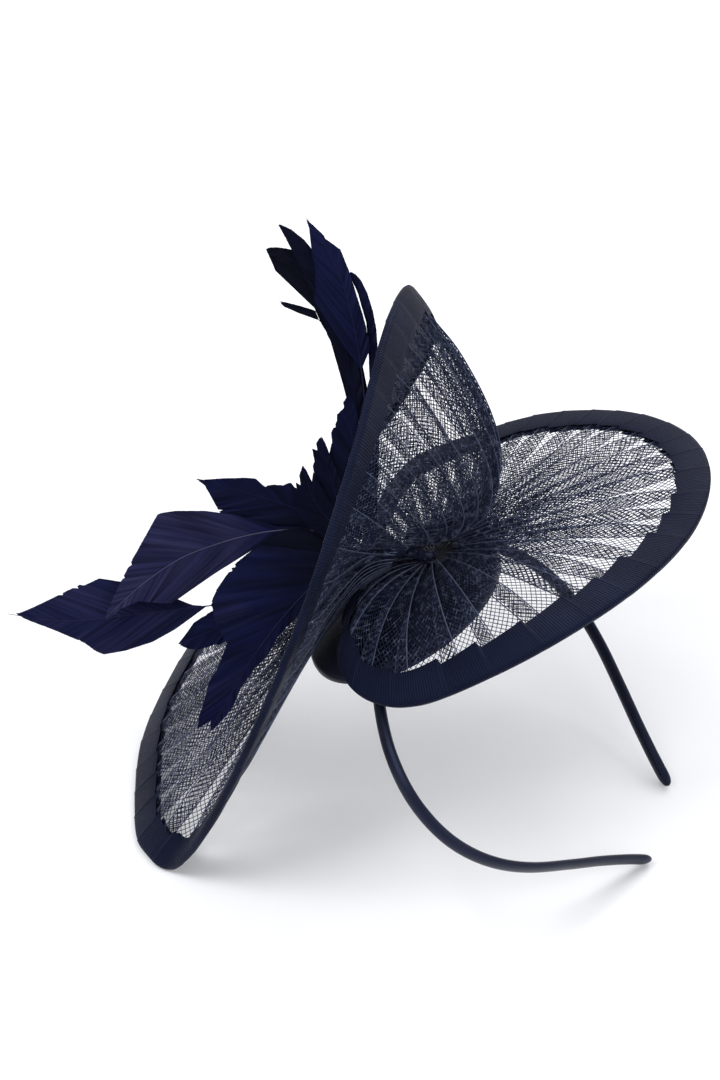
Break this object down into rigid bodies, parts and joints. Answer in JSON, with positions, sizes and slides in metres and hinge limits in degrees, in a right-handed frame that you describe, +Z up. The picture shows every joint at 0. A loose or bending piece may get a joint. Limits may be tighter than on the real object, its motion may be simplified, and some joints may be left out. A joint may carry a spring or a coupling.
{
  "type": "fascinator headpiece",
  "caption": "Headband fascinator with an oval base, two rimmed discs of pleated open net, one low and one standing tall, and a spray of trimmed feathers at their gather.",
  "frame": {"origin": "centre of the bounding box's bottom face: the object as it stands on a table, on the headband's two tips and the lower rim of the tall disc", "axes": "+Z up, +Y towards the wearer's left tip of the headband, so ear to ear runs along Y; the low disc spreads towards +X and the tall disc stands at -X; front of the picture is at -Y, turned 15 degrees towards +X"},
  "size_m": [0.2327, 0.1957, 0.1959],
  "materials": {
    "satin": "glossy satin",
    "ribbon": "matt fine-ribbed ribbon",
    "net": "open diamond-mesh net",
    "felt": "matt felt",
    "buckram": "stiffened cloth",
    "thread": "sewing thread",
    "feather": "dyed feather, soft sheen",
    "spring_steel": "drawn wire and strip"
  },
  "bodies": {
    "headpiece": {"base_cover": "satin", "base_disc": "buckram", "base_lining": "felt", "feather_hackle_high": "feather", "feather_hackle_low": "feather", "feather_hackle_middle": "feather", "feather_low_broad": "feather", "feather_side_broad": "feather", "feather_side_long": "feather", "feather_side_short": "feather", "feather_side_upper": "feather", "feather_top_black": "feather", "feather_top_left": "feather", "feather_top_long": "feather", "feather_top_right": "feather", "feather_top_spike": "feather", "feather_wrap": "thread", "gather_post": "net", "gather_tie": "thread", "headband_core_crown": "spring_steel", "low_disc_binding": "ribbon", "low_disc_edge_wire": "spring_steel", "low_disc_net": "net", "satin_wrap_crown": "satin", "stitch_1": "thread", "stitch_2": "thread", "stitch_3": "thread", "stitch_4": "thread", "tall_disc_binding": "ribbon", "tall_disc_edge_wire": "spring_steel", "tall_disc_net": "net"},
    "left_arm": {"headband_core_left_arm": "spring_steel", "satin_wrap_left_arm": "satin", "tip_cap_left": "satin"},
    "right_arm": {"headband_core_right_arm": "spring_steel", "satin_wrap_right_arm": "satin", "tip_cap_right": "satin"}
  },
  "joints": [
    {"name": "left_arm_flex", "type": "hinge", "parent": "headpiece", "child": "left_arm", "pos_m": [0.02376, 0.03145, 0.06957], "axis": [0.6018, 0, 0.7986], "range_deg": [-3, 24], "stiffness_Nm_per_rad": 1.5},
    {"name": "right_arm_flex", "type": "hinge", "parent": "headpiece", "child": "right_arm", "pos_m": [0.02376, -0.06845, 0.06957], "axis": [-0.6018, 0, -0.7986], "range_deg": [-3, 24], "stiffness_Nm_per_rad": 1.5}
  ]
}
